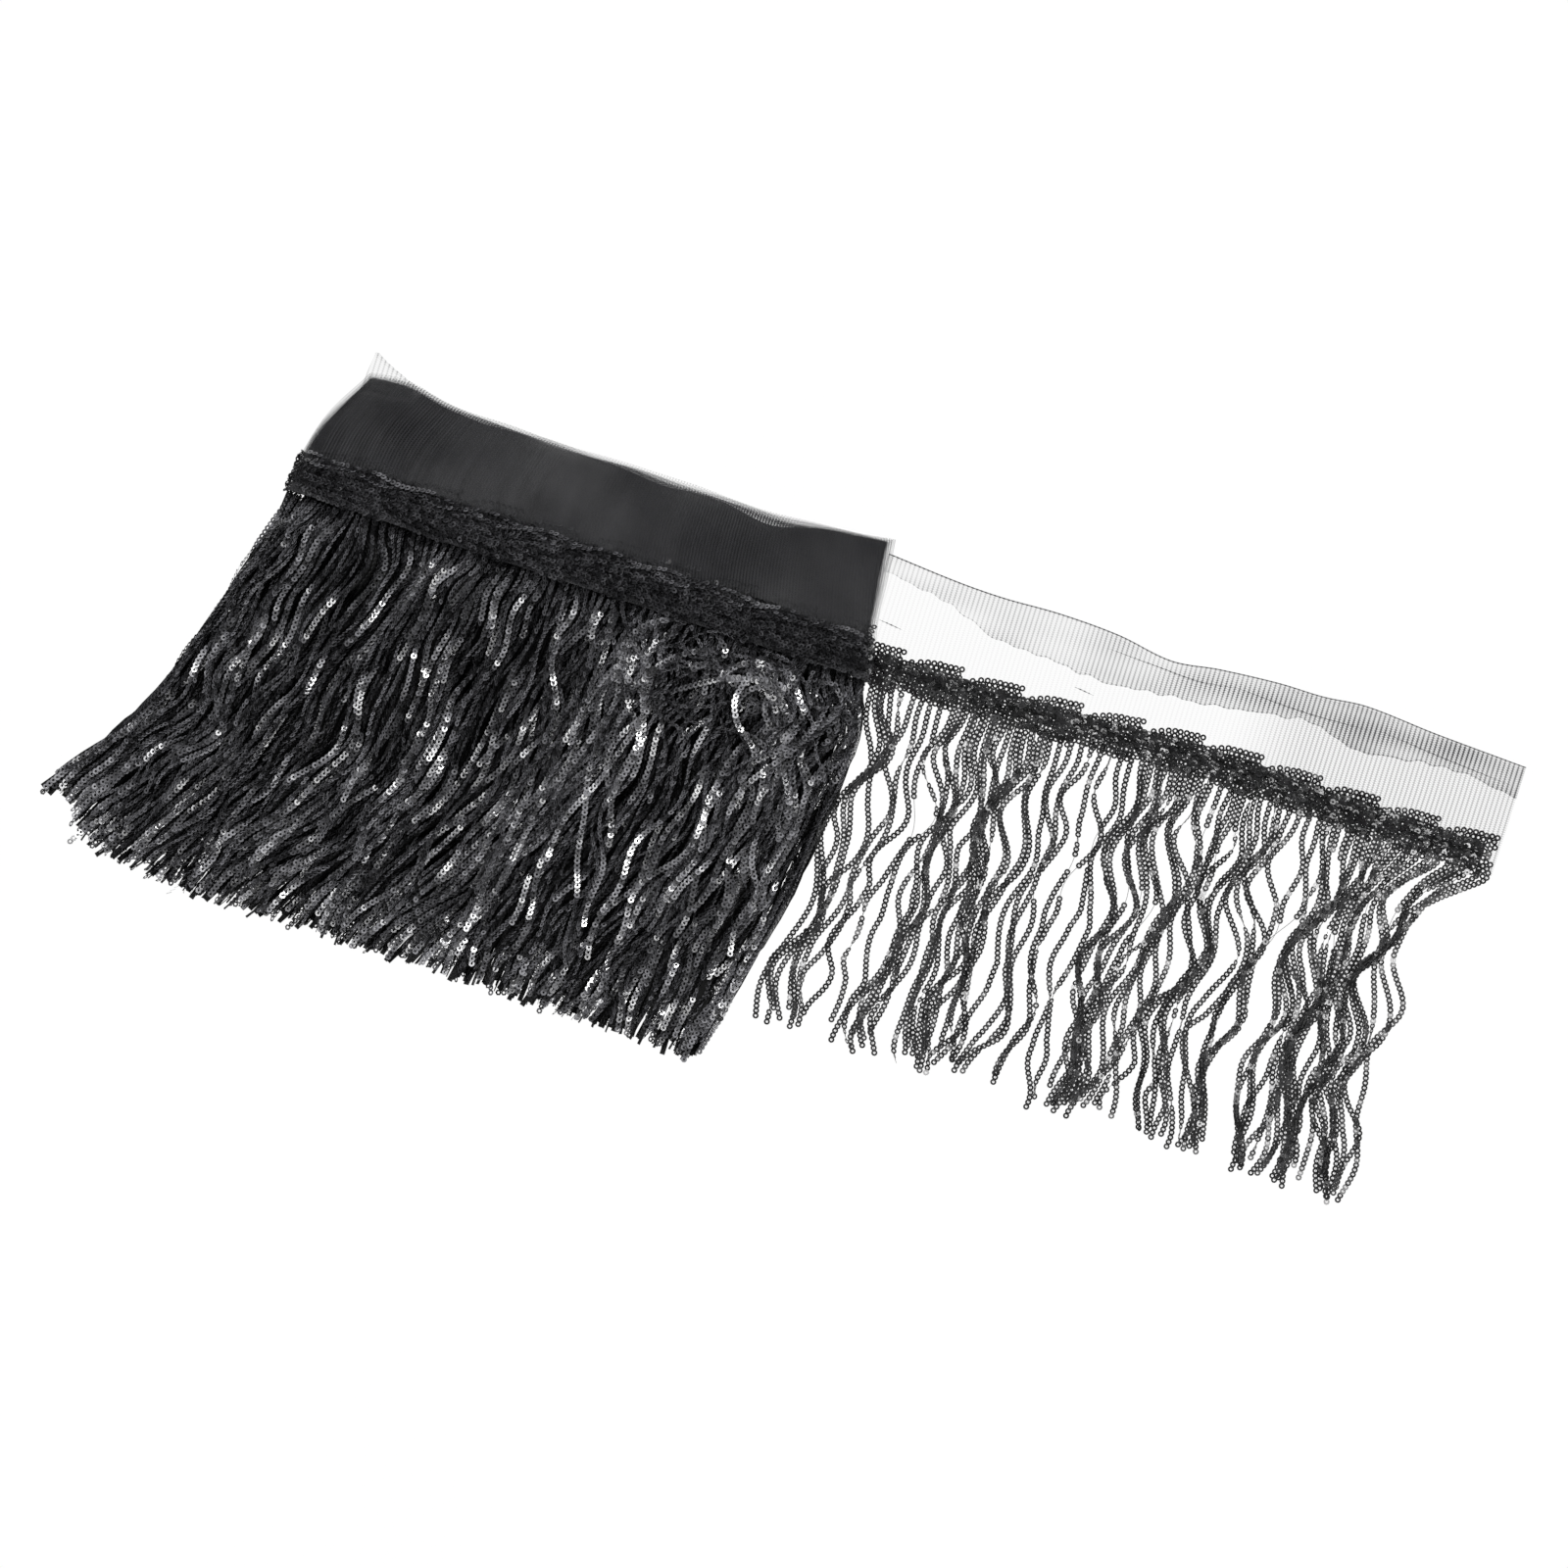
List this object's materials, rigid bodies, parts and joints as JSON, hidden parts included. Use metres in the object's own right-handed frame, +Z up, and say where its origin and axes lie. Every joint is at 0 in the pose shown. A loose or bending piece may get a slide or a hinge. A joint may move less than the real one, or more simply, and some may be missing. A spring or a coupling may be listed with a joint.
{
  "type": "sequin fringe trim",
  "caption": "Black sequin fringe trim wound flat into a bolt, its loose end laid out beside it: net heading, leaf band of sequins and hanging sequin strands.",
  "frame": {"origin": "on the surface, under the middle of the trim's box", "axes": "+X along the trim from the bolt to its loose end, +Y across it from the strands to the net's selvage, +Z up"},
  "size_m": [0.6802, 0.2791, 0.0202],
  "materials": {
    "net": "fine black tulle, sheer where it lies single",
    "sequins": "glossy black flat sequins on black thread"
  },
  "bodies": {
    "root": {"wound_net": "net", "wound_fringe": "sequins", "loose_net": "net", "loose_fringe": "sequins"}
  },
  "joints": []
}
